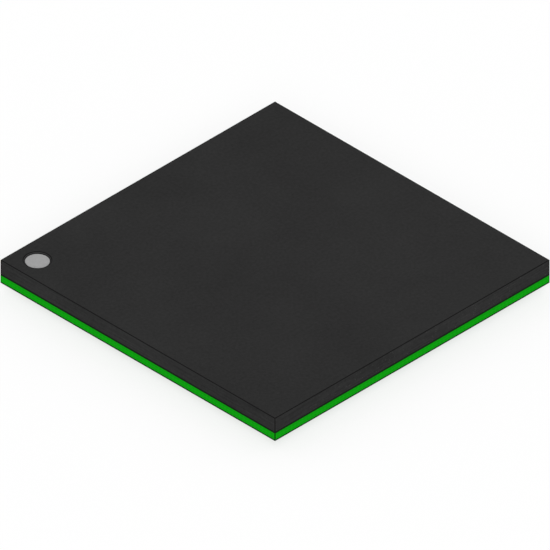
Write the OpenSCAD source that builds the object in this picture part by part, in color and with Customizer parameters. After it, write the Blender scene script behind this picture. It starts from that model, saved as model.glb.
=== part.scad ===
// Digital signal processor in an overmoulded ball grid array package.
// Millimetres. The origin is the centre of the ball grid on the seating plane, +Z points up
// through the marked face, and ball A1 is in the corner at -X +Y.

/* [Ball grid] */
// Rows of solder balls, and columns
ball_rows = 16; // [12:2:16]
// Distance between the centres of neighbouring balls
ball_pitch = 1.0; // [0.9:0.05:1.2]
// Outer ball centres to the saw-cut edge of the package
edge_margin = 1.0; // [0.9:0.05:1.4]
// Diameter of a solder ball
ball_d = 0.6; // [0.52:0.01:0.7]
// Seating plane to the underside of the board
standoff = 0.475; // [0.4:0.005:0.51]
// How far a ball spreads over the edge of its mask opening
solder_spread = 0.012; // [0.005:0.001:0.02]

/* [Mould cap] */
// Thickness of the moulded block above the board
mould_h = 0.76; // [0.66:0.01:1.2]
// Diameter of the index dimple at its rim
dimple_d = 1.26; // [0.9:0.02:1.5]
// Depth of the dimple, down to the ink
dimple_depth = 0.07; // [0.04:0.01:0.12]
// Angle of the dimple's wall from the vertical
dimple_draft = 45; // [15:5:60]
// Centre of the dimple to both edges of its corner
dimple_inset = 1.145; // [0.9:0.005:1.6]
// Thickness of the ink on the floor of the dimple
ink_h = 0.02; // [0.01:0.005:0.04]

/* [Chip] */
// Side of the square silicon die
die_side = 6.0; // [5:0.1:6.8]
// Thickness of the die
die_h = 0.28; // [0.2:0.01:0.32]
// Thickness of the adhesive under the die
attach_h = 0.03; // [0.02:0.005:0.05]
// Width of the adhesive fillet around the die
attach_margin = 0.08; // [0.04:0.01:0.15]

/* [Bond wires] */
// Thickness of a gold wire
wire_d = 0.025; // [0.018:0.001:0.03]
// Height of the loop above the die
loop_h = 0.15; // [0.1:0.01:0.18]
// Share of the wire's plan length that runs level at the top of the loop
loop_run = 0.26; // [0.2:0.01:0.4]
// Diameter of the squashed ball that bonds a wire to the die
ball_bond_d = 0.05; // [0.036:0.002:0.06]
// Height of that ball
ball_bond_h = 0.014; // [0.008:0.001:0.02]
// Die edge to the centre of the ball bond
pad_inset = 0.12; // [0.08:0.01:0.2]
// Free space beside the outermost pads at the corners of the die
pad_corner = 0.2; // [0.15:0.01:0.4]
// Length of the flat stitch on the finger
stitch_l = 0.08; // [0.05:0.01:0.12]

/* [Bond fingers] */
// Die edge to the inner end of the fingers
finger_gap = 0.95; // [0.8:0.05:1.2]
// Length of a bond finger
finger_l = 0.35; // [0.25:0.01:0.45]
// Share of the finger pitch that is copper
finger_share = 0.5; // [0.35:0.05:0.65]
// Free space beside the outermost fingers at the corners of the window
finger_corner = 0.35; // [0.3:0.01:0.6]
// Mask window beyond the ends of the fingers
window_margin = 0.07; // [0.04:0.01:0.12]
// Width of a signal trace
trace_w = 0.03; // [0.02:0.002:0.034]
// Distance between traces that pass the same pair of vias
trace_pitch = 0.1; // [0.08:0.005:0.1]
// Straight tail between a finger and the fan of traces
trace_tail = 0.1; // [0.05:0.01:0.15]
// Straight lead between the fan and the first ring of vias
trace_lead = 0.3; // [0.25:0.01:0.35]
// Shortest run allowed for the fan of traces
fan_run = 1.2; // [1:0.05:1.28]

/* [Board] */
// Thickness of the middle glass-epoxy layer
core_h = 0.175; // [0.1:0.005:0.3]
// Thickness of the outer glass-epoxy layers
prepreg_h = 0.11; // [0.06:0.005:0.16]
// Thickness of every copper layer
copper_h = 0.018; // [0.012:0.001:0.025]
// Thickness of the solder mask
mask_h = 0.035; // [0.03:0.001:0.05]
// Edge of the inner planes to the saw-cut edge
plane_pullback = 0.17; // [0.1:0.01:0.25]
// Die pad beyond the edge of the die
die_pad_margin = 0.3; // [0.2:0.01:0.5]
// Land edge beyond its mask opening
land_overlap = 0.05; // [0.03:0.005:0.07]
// Width of the neck between a ball land and its via
neck_w = 0.12; // [0.08:0.01:0.16]

/* [Vias] */
// Outer diameter of a plated barrel
via_d = 0.2; // [0.15:0.01:0.24]
// Plating thickness of a barrel
via_wall = 0.025; // [0.015:0.001:0.035]
// Diameter of a via's copper land
via_land_d = 0.3; // [0.26:0.01:0.32]
// Diameter of the clearance hole in a plane
antipad_d = 0.4; // [0.34:0.01:0.46]

/* [Hidden] */
$fn = 32;
ball_fn = 24;
// How far a cut runs past the face that it opens
cut_past = 1;
SIDES = ["right", "back", "left", "front"];
ROW_LETTERS = "abcdefghjklmnprt";

mould_colour = "#2e2e2e";
ink_colour = "#9d9d9d";
laminate_colour = "#109812";
mask_colour = "#0b4f10";
copper_colour = "#b87333";
gold_colour = "#d9b44a";
silicon_colour = "#5a5f6b";
adhesive_colour = "#d6d2c4";
solder_colour = "#c6c8cc";

// Heights of the faces between the layers, from the seating plane up
z_board = standoff;
z_lower = z_board + mask_h;
z_core = z_lower + prepreg_h;
z_upper = z_core + core_h;
z_laminate = z_upper + prepreg_h;
z_cap = z_laminate + mask_h;
z_top = z_cap + mould_h;
z_die = z_cap + attach_h;
z_pads = z_die + die_h;
z_loop = z_pads + loop_h;
z_fingers = z_laminate + copper_h;

// Plan sizes that follow from the ones above
grid_span = (ball_rows - 1) * ball_pitch;
body_side = grid_span + 2 * edge_margin;
plane_side = body_side - 2 * plane_pullback;
die_pad_side = die_side + 2 * die_pad_margin;
attach_side = die_side + 2 * attach_margin;
via_land_r = via_land_d / 2;
dimple_at = body_side / 2 - dimple_inset;
dimple_floor = z_top - dimple_depth - ink_h;
dimple_floor_d = dimple_d - 2 * (dimple_depth + ink_h) * tan(dimple_draft);
finger_start = die_side / 2 + finger_gap;
finger_end = finger_start + finger_l;
window_inner = 2 * (finger_start - window_margin);
window_outer = 2 * (finger_end + window_margin);
fan_start = finger_end + trace_tail;

// A ball wets a circle of the board where its sphere is cut off by the mask
seat_r = sqrt(pow(ball_d / 2, 2) - pow(standoff - ball_d / 2, 2));
opening_r = seat_r - solder_spread;
land_r = opening_r + land_overlap;

// Vias stand half a pitch outside their balls, in square rings counted from the centre.
// Rings under the die pad are ground, the outermost rings carry signals, power lies between.
last_ring = ball_rows / 2;
ground_ring = floor((die_pad_side / 2 - via_land_r) / ball_pitch);
signal_ring = ceil((fan_start + fan_run + trace_lead) / ball_pitch);
fan_end = signal_ring * ball_pitch - trace_lead;

BALLS = [for (row = [0 : ball_rows - 1], col = [0 : ball_rows - 1]) ball_at(row, col)];
SIGNAL_BALLS = [for (b = BALLS) if (ring_of(b) >= signal_ring) b];
POWER_BALLS = [for (b = BALLS) if (ring_of(b) > ground_ring && ring_of(b) < signal_ring) b];
GROUND_BALLS = [for (b = BALLS) if (ring_of(b) <= ground_ring) b];

// Nets of one side as [ring, row], counted outward from the middle of that side.
// The corner vias belong to the upper half.
UPPER_NETS = [for (ring = [signal_ring : 1 : last_ring], row = [1 : 1 : ring]) [ring, row]];
LOWER_NETS = [for (ring = [signal_ring : 1 : last_ring], row = [1 : 1 : ring - 1]) [ring, row]];
net_count = len(UPPER_NETS) + len(LOWER_NETS);
finger_pitch = 2 * (finger_start - finger_corner) / (net_count - 1);
pad_pitch = (die_side - 2 * pad_corner) / (net_count - 1);

function ball_row_name(row) = str("solder_balls_row_", ROW_LETTERS[row]);
function ball_at(row, col) = [col * ball_pitch - grid_span / 2, grid_span / 2 - row * ball_pitch];
function ring_of(b) = round(max(abs(b.x), abs(b.y)) / ball_pitch + 0.5);
function via_at(b) = b + [sign(b.x), sign(b.y)] * ball_pitch / 2;

// A strip of one width along a line of points, with mitred corners
function unit(v) = v / norm(v);
function normal(v) = [-v.y, v.x];
function strip_edge(points, half) = [
    for (i = [0 : len(points) - 1])
        let (
            before = unit(points[max(i, 1)] - points[max(i, 1) - 1]),
            after = unit(points[min(i, len(points) - 2) + 1] - points[min(i, len(points) - 2)]),
            mitre = unit(normal(before) + normal(after))
        )
        points[i] + mitre * half / (mitre * normal(before))
];
function reversed(list) = [for (i = [len(list) - 1 : -1 : 0]) list[i]];
function strip(points, width) =
    concat(strip_edge(points, width / 2), reversed(strip_edge(points, -width / 2)));

// True if net a runs nearer to the middle of its side than net b
function is_inside(a, b) =
    a[0] == b[0] ? a[1] < b[1]
    : a[0] > b[0] ? min(a[1], b[0]) <= b[1]
    : min(b[1], a[0]) > a[1];

// Place of a net among the fingers of its side, from the lower end up
function finger_slot(net, upper) =
    upper ? len(LOWER_NETS) + len([for (n = UPPER_NETS) if (is_inside(n, net)) n])
          : len([for (n = LOWER_NETS) if (is_inside(net, n)) n]);

function finger_y(slot) = (slot - (net_count - 1) / 2) * finger_pitch;
function pad_y(slot) = (slot - (net_count - 1) / 2) * pad_pitch;

// Distance from the middle of the side at which a net passes a ring of vias inside its own
function pass_y(net, ring, nets) =
    let (
        gate = min(net[1], ring),
        bundle = [for (n = nets) if (n[0] > ring && min(n[1], ring) == gate) n],
        place = len([for (n = bundle) if (is_inside(net, n)) n]),
        nearest = trace_lead + trace_pitch,
        room = ball_pitch - via_land_r - trace_w - nearest,
        step = min(trace_pitch, room / max(len(bundle) - 1, 1))
    )
    gate * ball_pitch - nearest - place * step;

// Plan of a trace on the right-hand side, from its finger to its via
function trace_path(net, upper) =
    let (
        half = upper ? 1 : -1,
        nets = upper ? UPPER_NETS : LOWER_NETS,
        slot = finger_slot(net, upper),
        stops = [for (ring = [signal_ring : 1 : net[0] - 1]) half * pass_y(net, ring, nets)],
        entry = len(stops) > 0 ? stops[0] : half * min(net[1] * ball_pitch, fan_end)
    )
    concat(
        [[finger_end - finger_l / 2, finger_y(slot)], [fan_start, finger_y(slot)], [fan_end, entry]],
        [for (i = [0 : 1 : len(stops) - 1]) [(signal_ring + i) * ball_pitch, stops[i]]],
        [[net[0], half * net[1]] * ball_pitch]
    );

// Square sheet centred on the package axis
module sheet(side, z, height) {
    translate([-side / 2, -side / 2, z])
        cube([side, side, height]);
}

module discs(centres, d) {
    for (c = centres)
        translate(c)
            circle(d = d);
}

module via_holes(balls) {
    discs([for (b = balls) via_at(b)], via_d);
}

// Layer of the board with round holes
module drilled(side, z, height) {
    translate([0, 0, z])
        linear_extrude(height)
            difference() {
                square(side, center = true);
                children();
            }
}

module barrels(balls, z, height) {
    for (b = balls)
        translate(concat(via_at(b), z))
            linear_extrude(height)
                difference() {
                    circle(d = via_d);
                    circle(d = via_d - 2 * via_wall);
                }
}

module mould_cap() {
    color(mould_colour)
        difference() {
            union() {
                sheet(body_side, z_cap, mould_h);
                bond_window();
            }
            dimple_cone(ink_h + dimple_depth + cut_past);
            sheet(attach_side, z_cap, attach_h);
            sheet(die_side, z_cap, attach_h + die_h);
            for (side = [0 : len(SIDES) - 1]) {
                wire_set(side);
                finger_set(side);
            }
        }
}

// Opening of the mask around the bond fingers
module bond_window() {
    difference() {
        sheet(window_outer, z_laminate, mask_h);
        sheet(window_inner, z_laminate - cut_past, mask_h + 2 * cut_past);
    }
}

// Cone inside the dimple's wall, from the floor up
module dimple_cone(height) {
    translate([-dimple_at, dimple_at, dimple_floor])
        cylinder(d1 = dimple_floor_d, d2 = dimple_floor_d + 2 * height * tan(dimple_draft), h = height);
}

module pin_one_mark() {
    color(ink_colour)
        dimple_cone(ink_h);
}

module silicon_die() {
    color(silicon_colour)
        sheet(die_side, z_die, die_h);
}

module die_attach() {
    color(adhesive_colour)
        sheet(attach_side, z_cap, attach_h);
}

// One wire: up from its ball bond, level at the top of the loop, down to a stitch on the finger
module bond_wire(slot) {
    pad = [die_side / 2 - pad_inset, pad_y(slot)];
    stitch = [finger_start + stitch_l, finger_y(slot)];
    reach = norm(stitch - pad);
    turn = atan2(stitch.y - pad.y, stitch.x - pad.x);
    z_stitch = z_fingers + wire_d / 2;
    translate([pad.x, pad.y, 0]) {
        translate([0, 0, z_pads])
            cylinder(d = ball_bond_d, h = ball_bond_h);
        rotate([90, 0, turn])
            linear_extrude(wire_d, center = true)
                polygon(strip([
                    [0, z_pads], [0, z_loop], [loop_run * reach, z_loop],
                    [reach, z_stitch], [reach + stitch_l, z_stitch]
                ], wire_d));
    }
}

module wire_set(side) {
    rotate(90 * side)
        for (slot = [0 : net_count - 1])
            bond_wire(slot);
}

module bond_wires(side) {
    color(gold_colour)
        wire_set(side);
}

// Copper of one net: bond finger, trace and via land
module finger_net(net, upper) {
    path = trace_path(net, upper);
    finger_w = finger_share * finger_pitch;
    translate([0, 0, z_laminate])
        linear_extrude(copper_h) {
            translate([finger_start, finger_y(finger_slot(net, upper)) - finger_w / 2])
                square([finger_l, finger_w]);
            polygon(strip(path, trace_w));
            translate(path[len(path) - 1])
                circle(d = via_land_d);
        }
}

module finger_set(side) {
    rotate(90 * side) {
        for (net = UPPER_NETS)
            finger_net(net, true);
        for (net = LOWER_NETS)
            finger_net(net, false);
    }
}

module bond_fingers(side) {
    color(copper_colour)
        finger_set(side);
}

module die_pad() {
    color(copper_colour)
        sheet(die_pad_side, z_laminate, copper_h);
}

module top_solder_mask() {
    color(mask_colour)
        difference() {
            sheet(body_side, z_laminate, mask_h);
            bond_window();
            die_pad();
            for (side = [0 : len(SIDES) - 1])
                finger_set(side);
        }
}

module upper_prepreg() {
    color(laminate_colour)
        difference() {
            drilled(body_side, z_upper, prepreg_h)
                via_holes(concat(SIGNAL_BALLS, GROUND_BALLS));
            ground_plane();
        }
}

module ground_plane() {
    color(copper_colour)
        drilled(plane_side, z_upper, copper_h) {
            discs([for (b = SIGNAL_BALLS) via_at(b)], antipad_d);
            via_holes(GROUND_BALLS);
        }
}

module core_laminate() {
    color(laminate_colour)
        drilled(body_side, z_core, core_h)
            via_holes(concat(SIGNAL_BALLS, GROUND_BALLS));
}

module power_plane() {
    color(copper_colour)
        drilled(plane_side, z_core - copper_h, copper_h)
            discs([for (b = concat(SIGNAL_BALLS, GROUND_BALLS)) via_at(b)], antipad_d);
}

module lower_prepreg() {
    color(laminate_colour)
        difference() {
            drilled(body_side, z_lower, prepreg_h)
                via_holes(BALLS);
            power_plane();
        }
}

module signal_vias() {
    color(copper_colour)
        barrels(SIGNAL_BALLS, z_lower, z_laminate - z_lower);
}

module ground_vias() {
    color(copper_colour)
        barrels(GROUND_BALLS, z_lower, z_laminate - z_lower);
}

// Power vias stop at the power plane
module power_vias() {
    color(copper_colour)
        barrels(POWER_BALLS, z_lower, prepreg_h - copper_h);
}

module ball_land(b) {
    translate([0, 0, z_lower - copper_h])
        linear_extrude(copper_h) {
            translate(b)
                circle(r = land_r);
            polygon(strip([b, via_at(b)], neck_w));
            translate(via_at(b))
                circle(d = via_land_d);
        }
}

module ball_lands() {
    color(copper_colour)
        for (b = BALLS)
            ball_land(b);
}

module bottom_solder_mask() {
    color(mask_colour)
        difference() {
            drilled(body_side, z_board, mask_h)
                discs(BALLS, 2 * opening_r);
            ball_lands();
        }
}

// Reflowed ball, cut flat where it meets the mask, with a neck through the mask opening
module solder_ball() {
    difference() {
        translate([0, 0, ball_d / 2])
            sphere(d = ball_d, $fn = ball_fn);
        sheet(2 * ball_d, standoff, ball_d);
    }
    translate([0, 0, standoff])
        cylinder(r = opening_r, h = mask_h - copper_h, $fn = ball_fn);
}

module solder_ball_row(row) {
    color(solder_colour)
        for (col = [0 : ball_rows - 1])
            translate(ball_at(row, col))
                solder_ball();
}

mould_cap();
pin_one_mark();
silicon_die();
die_attach();
for (side = [0 : len(SIDES) - 1]) {
    bond_wires(side);
    bond_fingers(side);
}
die_pad();
top_solder_mask();
upper_prepreg();
ground_plane();
core_laminate();
power_plane();
lower_prepreg();
signal_vias();
ground_vias();
power_vias();
ball_lands();
bottom_solder_mask();
for (row = [0 : ball_rows - 1])
    solder_ball_row(row);
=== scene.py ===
"""Looks of a digital signal processor in a moulded, saw-cut ball grid array package.

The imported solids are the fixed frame. The script dresses every solid with a procedural finish, swaps the
moulded block, the index ink and the solder balls for finer meshes, adds the relief of the lower lacquer,
and sets up the table, the light and the camera. Lengths are in metres unless a name ends in _mm.
"""

from __future__ import annotations

import logging
import math
from dataclasses import dataclass
from enum import Enum, IntEnum
from typing import Any, Mapping, NamedTuple, Sequence, Union

import bmesh
import bpy
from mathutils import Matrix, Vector

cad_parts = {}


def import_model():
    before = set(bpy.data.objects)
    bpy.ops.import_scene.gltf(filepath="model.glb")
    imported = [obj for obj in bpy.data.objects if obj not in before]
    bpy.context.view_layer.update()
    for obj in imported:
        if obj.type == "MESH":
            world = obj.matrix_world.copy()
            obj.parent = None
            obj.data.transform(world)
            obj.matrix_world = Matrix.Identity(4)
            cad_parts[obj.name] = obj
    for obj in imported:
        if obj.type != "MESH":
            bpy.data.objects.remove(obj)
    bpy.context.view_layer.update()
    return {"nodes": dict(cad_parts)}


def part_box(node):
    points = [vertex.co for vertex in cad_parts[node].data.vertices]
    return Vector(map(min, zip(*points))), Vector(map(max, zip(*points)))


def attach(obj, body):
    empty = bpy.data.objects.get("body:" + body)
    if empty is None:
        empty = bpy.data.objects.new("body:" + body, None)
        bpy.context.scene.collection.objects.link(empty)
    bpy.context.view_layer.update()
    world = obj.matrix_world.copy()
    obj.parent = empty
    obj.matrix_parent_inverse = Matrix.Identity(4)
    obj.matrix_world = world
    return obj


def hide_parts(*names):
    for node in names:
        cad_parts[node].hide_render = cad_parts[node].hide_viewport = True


LOG = logging.getLogger("processor")

# Metres in a millimetre
MM = 0.001
# Vertices closer than this are one point
MERGE = 0.0001 * MM
# A point closer than this to a plane lies in it
NEAR = 10 * MERGE
# The one body of the part
BODY = "root"
# Name of the map through which the finish of a piece can be baked
BAKE_MAP = "OFBake"
# Solids of the frame that give the block and the balls their seats
UPPER_MASK = "top_solder_mask"
LOWER_MASK = "bottom_solder_mask"

Colour = tuple[float, float, float, float]
Feed = Union["Signal", float, int, Sequence[float], bpy.types.Material]
Solids = Mapping[str, bpy.types.Object]
Verts = list[bmesh.types.BMVert]

BLACK: Colour = (0.0, 0.0, 0.0, 1.0)
WHITE: Colour = (1.0, 1.0, 1.0, 1.0)
# Upward part of the facing at which a sawn side begins and at which it is whole
SAWN = (0.6, 0.3)
# A face looks along an axis if more than this part of its facing does
ALONG = 0.5
# Share of a fleck's radius that is whole, and how softly the cells that hold a fleck are chosen
FLECK_CORE = 0.5
FLECK_BLUR = 0.02


def screen(red: int, green: int, blue: int) -> Colour:
    """Turn an 8-bit screen colour into the linear colour that a shader takes.

    Args:
        red: Red from 0 to 255.
        green: Green from 0 to 255.
        blue: Blue from 0 to 255.

    Returns:
        The linear colour, opaque.
    """
    parts = (level / 255 for level in (red, green, blue))
    linear = [part / 12.92 if part <= 0.04045 else ((part + 0.055) / 1.055) ** 2.4 for part in parts]
    return (linear[0], linear[1], linear[2], 1.0)


class Slot(Enum):
    """Names of the material slots of the record."""

    MOULD = "mould_compound"
    INK = "index_ink"
    MASK = "solder_mask"
    SOLDER = "solder"


class Axis(IntEnum):
    """Axes of the part's frame."""

    X = 0
    Y = 1
    Z = 2


# The four sides of the block: the axis that each looks along, and which way
SIDES = ((Axis.X, -1), (Axis.X, 1), (Axis.Y, -1), (Axis.Y, 1))


class SocketKind(Enum):
    """Kinds of input that a geometry tree takes."""

    FLOAT = "NodeSocketFloat"
    COUNT = "NodeSocketInt"
    POINT = "NodeSocketVector"
    MATERIAL = "NodeSocketMaterial"
    GEOMETRY = "NodeSocketGeometry"


class Signal:
    """An output socket of a node that works in Python expressions."""

    def __init__(self, graph: Graph, socket: bpy.types.NodeSocket | None) -> None:
        """Wrap one socket of a graph."""
        self.graph = graph
        self.socket = socket

    def _math(self, operation: str, first: Feed, second: Feed = 0.0) -> Signal:
        """Add a Math node on two values."""
        return self.graph.add("ShaderNodeMath", {"operation": operation}, {0: first, 1: second})

    def __add__(self, other: Feed) -> Signal:
        """Add a value."""
        return self._math("ADD", self, other)

    __radd__ = __add__

    def __sub__(self, other: Feed) -> Signal:
        """Subtract a value."""
        return self._math("SUBTRACT", self, other)

    def __rsub__(self, other: Feed) -> Signal:
        """Subtract this signal from a value."""
        return self._math("SUBTRACT", other, self)

    def __mul__(self, other: Feed) -> Signal:
        """Multiply by a value."""
        return self._math("MULTIPLY", self, other)

    __rmul__ = __mul__

    def __truediv__(self, other: Feed) -> Signal:
        """Divide by a value."""
        return self._math("DIVIDE", self, other)

    def __rtruediv__(self, other: Feed) -> Signal:
        """Divide a value by this signal."""
        return self._math("DIVIDE", other, self)

    def __abs__(self) -> Signal:
        """Drop the sign."""
        return self._math("ABSOLUTE", self)

    def least(self, other: Feed) -> Signal:
        """Take the smaller of two values."""
        return self._math("MINIMUM", self, other)

    def most(self, other: Feed) -> Signal:
        """Take the larger of two values."""
        return self._math("MAXIMUM", self, other)

    def within(self) -> Signal:
        """Keep a value between 0 and 1."""
        return self.most(0.0).least(1.0)

    def sign(self) -> Signal:
        """Give -1, 0 or 1."""
        return self._math("SIGN", self)

    def nearest(self) -> Signal:
        """Take the nearest whole number."""
        return self._math("ROUND", self)

    def sine(self) -> Signal:
        """Take the sine of an angle."""
        return self._math("SINE", self)

    def cosine(self) -> Signal:
        """Take the cosine of an angle."""
        return self._math("COSINE", self)

    def arcsine(self) -> Signal:
        """Take the angle of a sine."""
        return self._math("ARCSINE", self)

    def bearing(self, across: Signal) -> Signal:
        """Take the angle of the direction whose sine side is this signal."""
        return self._math("ARCTAN2", self, across)

    def smooth(self, low: float, high: float) -> Signal:
        """Ease from 0 at low to 1 at high, in either direction."""
        sockets = {"Value": self, "From Min": low, "From Max": high}
        return self.graph.add("ShaderNodeMapRange", {"interpolation_type": "SMOOTHSTEP"}, sockets)

    def line(self, width: float, core: float) -> Signal:
        """Draw a soft line where a distance is under a width, full up to a share of that width."""
        return self.smooth(width, core * width)

    def output(self, name: str) -> Signal:
        """Give another output of the same node."""
        return Signal(self.graph, self.socket.node.outputs[name])


class Graph:
    """A node tree that is built one node at a time."""

    def __init__(self, tree: bpy.types.NodeTree) -> None:
        """Start on an emptied tree."""
        self.tree = tree
        tree.nodes.clear()

    def add(
        self,
        kind: str,
        settings: Mapping[str, Any] | None = None,
        sockets: Mapping[int | str, Feed] | None = None,
        result: int | str = 0,
    ) -> Signal:
        """Add a node of any type.

        Args:
            kind: Type of the node.
            settings: The node's own properties, such as a Math node's operation, set first.
            sockets: Values or links of its inputs, by index, identifier or name.
            result: Index, identifier or name of the output to hand back.

        Returns:
            The chosen output, which is empty on a node that ends a tree.
        """
        node = self.tree.nodes.new(kind)
        for key, value in (settings or {}).items():
            setattr(node, key, value)
        for key, value in (sockets or {}).items():
            socket = self._pick(node.inputs, key)
            if isinstance(value, Signal):
                self.tree.links.new(value.socket, socket)
            else:
                socket.default_value = value
        output = self._pick(node.outputs, result) if node.outputs else None
        return Signal(self, output)

    @staticmethod
    def _pick(sockets: Any, key: int | str) -> bpy.types.NodeSocket:
        """Find a socket.

        Args:
            sockets: Inputs or outputs of a node.
            key: Index, identifier or name of the socket.

        Returns:
            The socket.
        """
        if isinstance(key, int):
            return sockets[key]
        named = [socket for socket in sockets if socket.identifier == key]
        return named[0] if named else sockets[key]

    def split(self, vector: Signal) -> tuple[Signal, Signal, Signal]:
        """Give the three parts of a vector."""
        parts = self.add("ShaderNodeSeparateXYZ", None, {0: vector})
        return parts, parts.output("Y"), parts.output("Z")

    def join(self, x: Feed, y: Feed, z: Feed) -> Signal:
        """Make a vector of three values."""
        return self.add("ShaderNodeCombineXYZ", None, {0: x, 1: y, 2: z})


class Shader(Graph):
    """A surface material with one principled shader."""

    def __init__(self, name: str) -> None:
        """Start an empty material.

        Args:
            name: Name of the material.
        """
        self.material = bpy.data.materials.new(name)
        self.material.use_nodes = True
        super().__init__(self.material.node_tree)

    def place_mm(self) -> Signal:
        """Give the place on the piece, in millimetres of the part's frame."""
        place = self.add("ShaderNodeTexCoord", None, None, "Object")
        return self.add("ShaderNodeVectorMath", {"operation": "SCALE"}, {0: place, "Scale": 1 / MM})

    def up(self) -> Signal:
        """Give the upward part of the facing: 1 on top, 0 on the sides and -1 below."""
        _, _, up = self.split(self.add("ShaderNodeTexCoord", None, None, "Normal"))
        return up

    def from_axis(self, place: Signal, middle: tuple[float, float]) -> Signal:
        """Give the distance from an upright axis.

        Args:
            place: Where to read it.
            middle: Where the axis stands.

        Returns:
            The distance, in the units of place.
        """
        level = self.stretch(place, (1.0, 1.0, 0.0))
        sockets = {0: level, 1: (*middle, 0.0)}
        return self.add("ShaderNodeVectorMath", {"operation": "DISTANCE"}, sockets, "Value")

    def stretch(self, place: Signal, scale: tuple[float, float, float]) -> Signal:
        """Scale a place by a different amount on each axis."""
        return self.add("ShaderNodeVectorMath", {"operation": "MULTIPLY"}, {0: place, 1: scale})

    def noise(self, place: Signal, per_mm: float, detail: float = 2.0) -> Signal:
        """Give smooth noise round 0.

        Args:
            place: Where to read it.
            per_mm: Waves in a millimetre.
            detail: Number of finer layers.

        Returns:
            Noise that is mostly between -0.3 and 0.3.
        """
        sockets = {"Vector": place, "Scale": per_mm, "Detail": detail}
        return self.add("ShaderNodeTexNoise", None, sockets) - 0.5

    def cells(self, place: Signal, per_mm: float) -> tuple[Signal, Signal]:
        """Divide a surface into uneven cells.

        Args:
            place: Where to read them.
            per_mm: Cells in a millimetre.

        Returns:
            The distance from the middle of a cell, in cells, and a number from 0 to 1 that is drawn for it.
        """
        distance = self.add("ShaderNodeTexVoronoi", None, {"Vector": place, "Scale": per_mm}, "Distance")
        draw, _, _ = self.split(distance.output("Color"))
        return distance, draw

    def flecks(self, place: Signal, per_mm: float, share: float, reach: float) -> Signal:
        """Scatter round flecks.

        Args:
            place: Where to read them.
            per_mm: Cells in a millimetre.
            share: Share of the cells that hold a fleck.
            reach: Radius of a fleck in cells.

        Returns:
            1 in a fleck and 0 elsewhere.
        """
        distance, draw = self.cells(place, per_mm)
        chosen = draw.smooth(share + FLECK_BLUR, share - FLECK_BLUR)
        return distance.line(reach, FLECK_CORE) * chosen

    def blend(self, share: Feed, first: Feed, second: Feed) -> Signal:
        """Mix two colours.

        Args:
            share: Share of the second colour.
            first: Colour at 0.
            second: Colour at 1.

        Returns:
            The mixed colour.
        """
        sockets = {"Factor_Float": share, "A_Color": first, "B_Color": second}
        return self.add("ShaderNodeMix", {"data_type": "RGBA"}, sockets, "Result_Color")

    def bump(self, height: Signal, depth_mm: float) -> Signal:
        """Turn a height from 0 to 1 into a surface normal."""
        return self.add("ShaderNodeBump", None, {"Height": height, "Distance": depth_mm * MM})

    def finish(self, **sockets: Feed) -> bpy.types.Material:
        """Close the material with a principled shader.

        Args:
            sockets: Values or links of the shader, with _ for each space in a name.

        Returns:
            The finished material.
        """
        named = {name.replace("_", " "): value for name, value in sockets.items()}
        surface = self.add("ShaderNodeBsdfPrincipled", None, named)
        self.add("ShaderNodeOutputMaterial", None, {"Surface": surface})
        return self.material


class GeometryTree(Graph):
    """A geometry node tree with named inputs."""

    def __init__(self, name: str) -> None:
        """Start a tree with no inputs.

        Args:
            name: Name of the tree.
        """
        super().__init__(bpy.data.node_groups.new(name, "GeometryNodeTree"))
        self.entry = self.tree.nodes.new("NodeGroupInput")
        self.keys: dict[str, str] = {}
        self.values: dict[str, Any] = {}

    def input(self, name: str, kind: SocketKind, value: Any = None) -> Signal:
        """Add a named input.

        Args:
            name: Name of the input.
            kind: Kind of value that it takes.
            value: Its value, if that is the same in every run.

        Returns:
            The input as it is read inside the tree.
        """
        socket = self.tree.interface.new_socket(name=name, in_out="INPUT", socket_type=kind.value)
        self.keys[name] = socket.identifier
        if value is not None:
            self.values[name] = value
        return Signal(self, self._pick(self.entry.outputs, socket.identifier))

    def close(self, geometry: Signal, material: Signal) -> None:
        """End the tree in real geometry with one material.

        Args:
            geometry: What the tree has made.
            material: Its material.
        """
        kind = SocketKind.GEOMETRY.value
        self.tree.interface.new_socket(name="Geometry", in_out="OUTPUT", socket_type=kind)
        real = self.add("GeometryNodeRealizeInstances", None, {"Geometry": geometry})
        dressed = self.add("GeometryNodeSetMaterial", None, {"Geometry": real, "Material": material})
        self.add("NodeGroupOutput", None, {0: dressed})

    def mesh(
        self,
        name: str,
        seed: bpy.types.Mesh,
        values: Mapping[str, Any] | None = None,
    ) -> bpy.types.Mesh:
        """Run the tree once.

        Args:
            name: Name of the mesh.
            seed: Mesh that the tree starts from.
            values: Values of the inputs that this run sets by itself.

        Returns:
            A plain mesh of the result.
        """
        carrier = bpy.data.objects.new(name + "_carrier", seed)
        bpy.context.scene.collection.objects.link(carrier)
        modifier = carrier.modifiers.new(name, "NODES")
        modifier.node_group = self.tree
        for key, value in {**self.values, **(values or {})}.items():
            modifier[self.keys[key]] = value
        graph = bpy.context.evaluated_depsgraph_get()
        result = bpy.data.meshes.new_from_object(carrier.evaluated_get(graph), depsgraph=graph)
        result.name = name
        bpy.data.objects.remove(carrier)
        return result


def ring(bm: bmesh.types.BMesh, middle: Vector, radius: float, segments: int) -> Verts:
    """Add a level circle of vertices.

    Args:
        bm: Mesh to add to.
        middle: Middle of the circle.
        radius: Its radius.
        segments: Number of vertices.

    Returns:
        The vertices, anticlockwise from above.
    """
    turns = [math.tau * step / segments for step in range(segments)]
    offsets = [Vector((math.cos(turn), math.sin(turn), 0)) * radius for turn in turns]
    return [bm.verts.new(middle + offset) for offset in offsets]


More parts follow.
